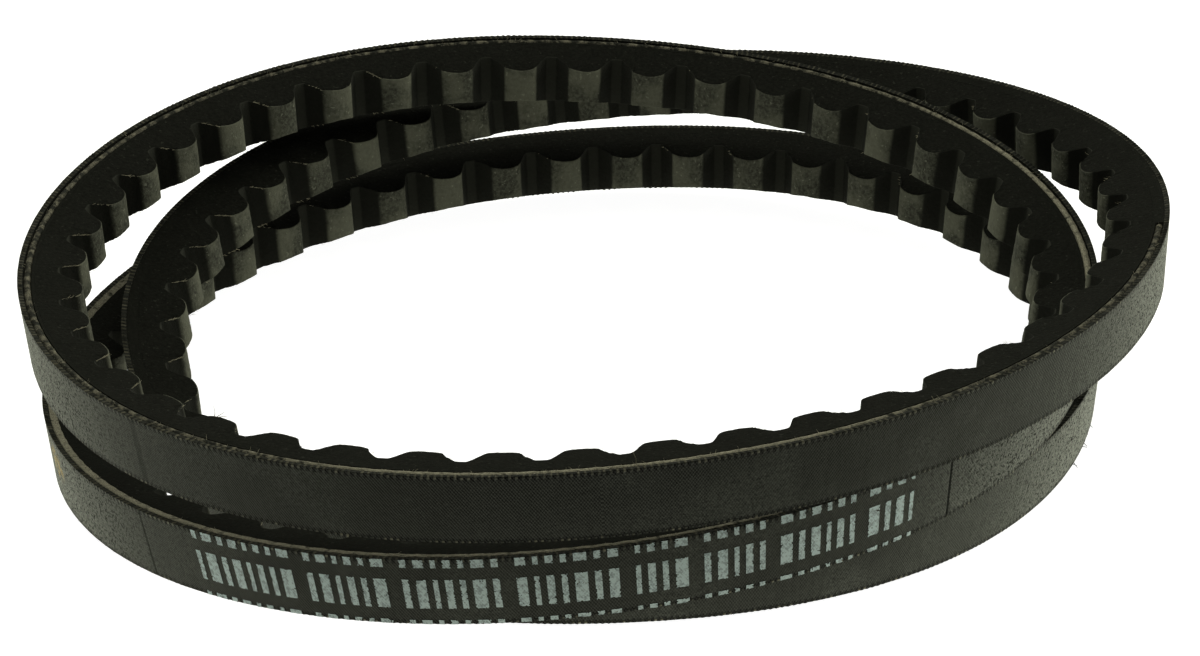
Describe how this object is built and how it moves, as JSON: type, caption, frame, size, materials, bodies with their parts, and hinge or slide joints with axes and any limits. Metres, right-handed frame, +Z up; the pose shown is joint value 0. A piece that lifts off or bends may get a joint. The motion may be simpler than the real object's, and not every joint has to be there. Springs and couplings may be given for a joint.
{
  "type": "v belt",
  "caption": "Narrow raw-edge V-belt with moulded cogs on the inside and a fabric back, stored as a coil of loops.",
  "frame": {"origin": "on the surface that the coil stands on, below the centre of its box", "axes": "+Z up along the coil's axis, -Y towards the front, where the marking is, +X to the right seen from the front"},
  "size_m": [0.148, 0.146, 0.0338],
  "materials": {
    "back_fabric": "rubberised black twill",
    "adhesion_gum": "matte black, cut face",
    "cord": "twisted tan yarn",
    "cogged_rubber": "matte black, ground flanks",
    "ink": "pale grey-green print"
  },
  "bodies": {
    "root": {"back_fabric": "back_fabric", "adhesion_gum": "adhesion_gum", "tensile_cord_lap_1": "cord", "tensile_cord_lap_2": "cord", "tensile_cord_lap_3": "cord", "tensile_cord_lap_4": "cord", "tensile_cord_lap_5": "cord", "tensile_cord_lap_6": "cord", "raw_edge_cord_upper": "cord", "raw_edge_cord_lower": "cord", "cogged_rubber": "cogged_rubber", "printed_marking": "ink", "printed_edge_row_upper": "ink", "printed_edge_row_lower": "ink"}
  },
  "joints": []
}
